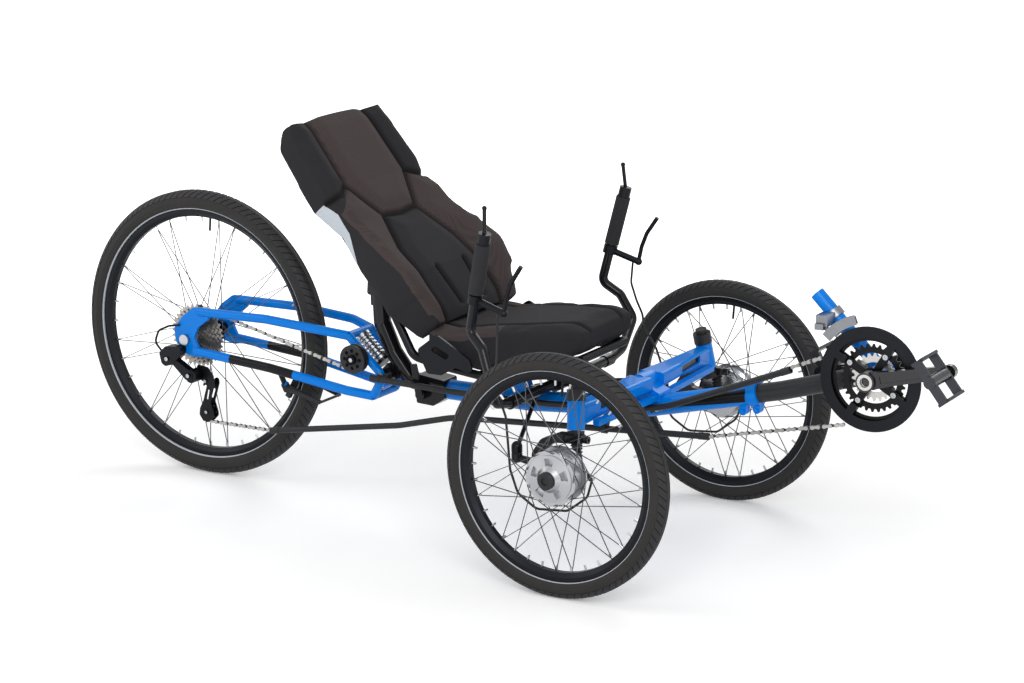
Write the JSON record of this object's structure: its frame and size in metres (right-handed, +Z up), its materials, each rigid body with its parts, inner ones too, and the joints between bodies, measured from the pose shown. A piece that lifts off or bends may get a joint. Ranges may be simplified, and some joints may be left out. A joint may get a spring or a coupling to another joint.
{
  "type": "recumbent trike",
  "caption": "Tadpole recumbent trike with two steered front wheels, suspended rear wheel, long boom with cranks, side handlebars and a reclined padded seat.",
  "frame": {"origin": "on the ground, at the middle of the overall length, on the centre plane", "axes": "+X forward towards the cranks, +Y to the rider's left, +Z up"},
  "size_m": [2.1638, 0.8248, 0.848],
  "materials": {
    "frame_blue": "gloss blue paint",
    "frame_black": "satin black",
    "boom_grey": "satin dark grey",
    "black_alloy": "black anodised",
    "silver_alloy": "polished",
    "steel": "satin",
    "drive_steel": "satin",
    "spoke_steel": "black",
    "tyre_rubber": "matt",
    "grip_rubber": "matt",
    "black_plastic": "matt",
    "hub_black": "black anodised",
    "seat_fabric": "mesh weave"
  },
  "bodies": {
    "frame": {"main_frame": "frame_blue", "boom": "boom_grey", "derailleur_post": "frame_blue", "front_derailleur": "black_alloy", "rear_frame": "frame_black", "fold_hinge": "frame_black", "seat_bracket": "frame_black", "swingarm": "frame_blue", "axle_bolts": "steel", "rear_spring": "silver_alloy", "rear_brake": "black_plastic", "upper_arms": "frame_blue", "lower_arms": "frame_blue", "chain": "drive_steel", "chain_tubes": "black_plastic", "rear_derailleur": "black_alloy", "base_cushion": "seat_fabric", "back_cushion": "seat_fabric", "seat_frame": "black_alloy"},
    "handlebar": {"steering_stem": "frame_black", "cross_bar": "frame_black", "side_bars": "frame_black", "grips": "grip_rubber", "brake_levers": "black_alloy", "shifters": "black_alloy", "bar_cables": "black_plastic"},
    "tie_rod_left_body": {"tie_rod_left": "black_alloy"},
    "tie_rod_right_body": {"tie_rod_right": "black_alloy"},
    "knuckle_left_body": {"knuckle_left": "frame_black", "kingpin_boots_left": "black_plastic", "brake_plate_left": "silver_alloy", "brake_cable_left": "black_plastic"},
    "knuckle_right_body": {"knuckle_right": "frame_black", "kingpin_boots_right": "black_plastic", "brake_plate_right": "silver_alloy", "brake_cable_right": "black_plastic"},
    "wheel_left": {"front_tyre_left": "tyre_rubber", "front_rim_left": "black_alloy", "front_spokes_left": "spoke_steel", "front_hub_left": "silver_alloy", "hub_cap_left": "black_plastic"},
    "wheel_right": {"front_tyre_right": "tyre_rubber", "front_rim_right": "black_alloy", "front_spokes_right": "spoke_steel", "front_hub_right": "silver_alloy", "hub_cap_right": "black_plastic"},
    "wheel_rear": {"rear_tyre": "tyre_rubber", "rear_rim": "black_alloy", "rear_spokes": "spoke_steel", "rear_hub": "hub_black", "cassette": "drive_steel"},
    "cranks": {"crank_arms": "frame_black", "chainrings": "drive_steel", "chain_guard": "black_alloy"},
    "pedal_left_body": {"pedal_left": "black_plastic"},
    "pedal_right_body": {"pedal_right": "black_plastic"},
    "idler": {"idler_wheel": "black_plastic"}
  },
  "joints": [
    {"name": "steer", "type": "hinge", "parent": "frame", "child": "handlebar", "pos_m": [0.24703, 0, 0.312], "axis": [-0.2079, 0, 0.9781], "range_deg": [-22, 22]},
    {"name": "kingpin_left", "type": "hinge", "parent": "frame", "child": "knuckle_left_body", "pos_m": [0.35053, 0.273, 0.369], "axis": [-0.0966, -0.2107, 0.9728], "range_deg": [-24.11, 24.11]},
    {"name": "tie_rod_left_swing", "type": "hinge", "parent": "handlebar", "child": "tie_rod_left_body", "pos_m": [0.13603, 0.058, 0.311], "axis": [-0.1342, -0.0435, 0.99], "range_deg": [-25.55, 25.55]},
    {"name": "wheel_left_spin", "type": "hinge", "parent": "knuckle_left_body", "child": "wheel_left", "pos_m": [0.35903, 0.3684, 0.243], "axis": [0, 1, 0], "continuous": true},
    {"name": "kingpin_right", "type": "hinge", "parent": "frame", "child": "knuckle_right_body", "pos_m": [0.35053, -0.273, 0.369], "axis": [-0.0966, 0.2107, 0.9728], "range_deg": [-24.11, 24.11]},
    {"name": "tie_rod_right_swing", "type": "hinge", "parent": "handlebar", "child": "tie_rod_right_body", "pos_m": [0.13603, -0.058, 0.311], "axis": [-0.1342, 0.0435, 0.99], "range_deg": [-25.55, 25.55]},
    {"name": "wheel_right_spin", "type": "hinge", "parent": "knuckle_right_body", "child": "wheel_right", "pos_m": [0.35903, -0.3684, 0.243], "axis": [0, 1, 0], "continuous": true},
    {"name": "wheel_rear_spin", "type": "hinge", "parent": "frame", "child": "wheel_rear", "pos_m": [-0.75697, 0, 0.3242], "axis": [0, 1, 0], "continuous": true},
    {"name": "crank_spin", "type": "hinge", "parent": "frame", "child": "cranks", "pos_m": [0.87403, 0, 0.428], "axis": [0, 1, 0], "continuous": true},
    {"name": "pedal_right_spin", "type": "hinge", "parent": "cranks", "child": "pedal_right_body", "pos_m": [1.04383, -0.1, 0.47034], "axis": [0, 1, 0], "continuous": true},
    {"name": "pedal_left_spin", "type": "hinge", "parent": "cranks", "child": "pedal_left_body", "pos_m": [0.70423, 0.1, 0.38566], "axis": [0, 1, 0], "continuous": true},
    {"name": "idler_spin", "type": "hinge", "parent": "frame", "child": "idler", "pos_m": [-0.31097, -0.067, 0.33], "axis": [0, 1, 0], "continuous": true}
  ],
  "couplings": [
    {"joint": "kingpin_left", "follows": "steer", "ratio": 1.0938},
    {"joint": "tie_rod_left_swing", "follows": "steer", "ratio": -1.1589},
    {"joint": "kingpin_right", "follows": "steer", "ratio": 1.0938},
    {"joint": "tie_rod_right_swing", "follows": "steer", "ratio": -1.1589}
  ]
}
